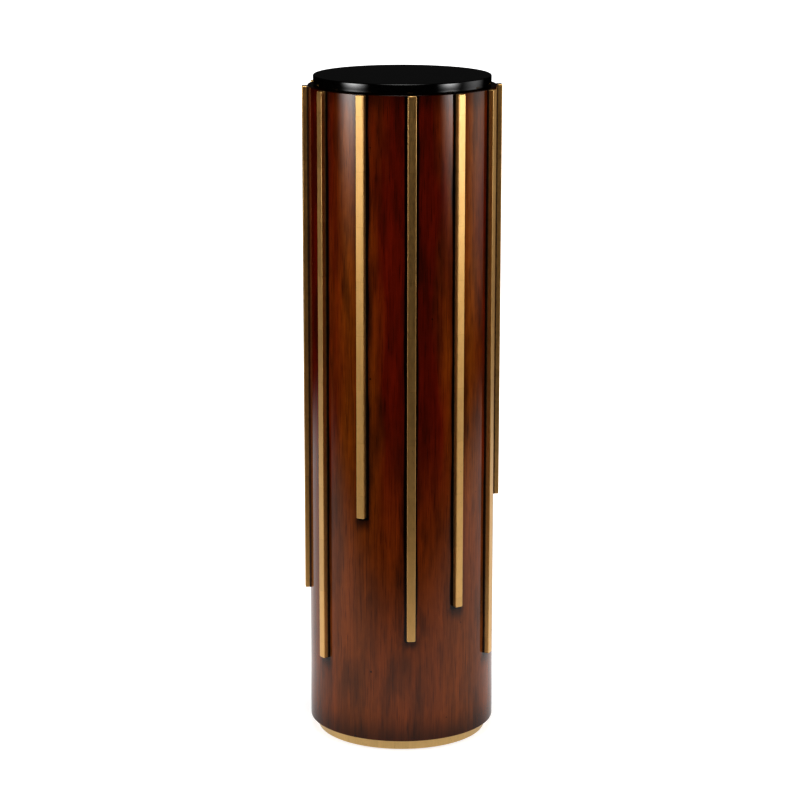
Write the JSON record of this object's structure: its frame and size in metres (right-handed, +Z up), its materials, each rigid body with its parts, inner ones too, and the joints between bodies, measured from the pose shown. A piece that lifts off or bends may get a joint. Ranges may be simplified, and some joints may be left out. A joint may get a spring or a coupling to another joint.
{
  "type": "display plinth",
  "caption": "Round mahogany column pedestal with applied gold-leafed vertical bars of unequal length, a black stone disc top and a recessed gilt plinth on levelling glides.",
  "frame": {"origin": "on the floor, under the column's axis, with the glides at rest", "axes": "+Z up along the column's axis, -Y is the front, +X is to the right of a person looking at the front"},
  "size_m": [0.3136, 0.3136, 1.067],
  "materials": {
    "black_stone": "polished black stone",
    "silicone": "clear silicone",
    "mahogany": "mahogany, glazed dark, high gloss lacquer",
    "plywood": "unfinished poplar plywood",
    "softwood": "planed pine",
    "gold_leaf_on_wood": "gold leaf over brown bole, lightly rubbed",
    "cast_iron": "grey casting, painted black",
    "zinc_plated_steel": "bright zinc plate",
    "nylon": "moulded black nylon"
  },
  "bodies": {
    "column": {"stone_top": "black_stone", "stone_bedding": "silicone", "cap_board": "mahogany", "cap_screws": "zinc_plated_steel", "column_veneer": "mahogany", "outer_wrap": "plywood", "inner_wrap": "plywood", "former_1": "plywood", "former_2": "plywood", "former_3": "plywood", "former_4": "plywood", "base_board": "plywood", "batten_1": "softwood", "batten_2": "softwood", "batten_3": "softwood", "batten_4": "softwood", "batten_screws": "zinc_plated_steel", "gilded_bar_01": "gold_leaf_on_wood", "gilded_bar_02": "gold_leaf_on_wood", "gilded_bar_03": "gold_leaf_on_wood", "gilded_bar_04": "gold_leaf_on_wood", "gilded_bar_05": "gold_leaf_on_wood", "gilded_bar_06": "gold_leaf_on_wood", "gilded_bar_07": "gold_leaf_on_wood", "gilded_bar_08": "gold_leaf_on_wood", "gilded_bar_09": "gold_leaf_on_wood", "gilded_bar_10": "gold_leaf_on_wood", "gilded_bar_11": "gold_leaf_on_wood", "gilded_bar_12": "gold_leaf_on_wood", "bar_pins": "zinc_plated_steel", "plinth_disc": "gold_leaf_on_wood", "plinth_screws": "zinc_plated_steel", "ballast_plate": "cast_iron", "ballast_bolts": "zinc_plated_steel", "ballast_washers": "zinc_plated_steel", "ballast_nuts": "zinc_plated_steel", "glide_tee_nuts": "zinc_plated_steel"},
    "glide_1": {"glide_stem_1": "zinc_plated_steel", "glide_pad_1": "nylon"},
    "glide_2": {"glide_stem_2": "zinc_plated_steel", "glide_pad_2": "nylon"},
    "glide_3": {"glide_stem_3": "zinc_plated_steel", "glide_pad_3": "nylon"},
    "glide_4": {"glide_stem_4": "zinc_plated_steel", "glide_pad_4": "nylon"}
  },
  "joints": [
    {"name": "glide_1_height", "type": "slide", "parent": "column", "child": "glide_1", "axis": [0, 0, -1], "range_m": [-0.003, 0.012]},
    {"name": "glide_2_height", "type": "slide", "parent": "column", "child": "glide_2", "axis": [0, 0, -1], "range_m": [-0.003, 0.012]},
    {"name": "glide_3_height", "type": "slide", "parent": "column", "child": "glide_3", "axis": [0, 0, -1], "range_m": [-0.003, 0.012]},
    {"name": "glide_4_height", "type": "slide", "parent": "column", "child": "glide_4", "axis": [0, 0, -1], "range_m": [-0.003, 0.012]}
  ]
}
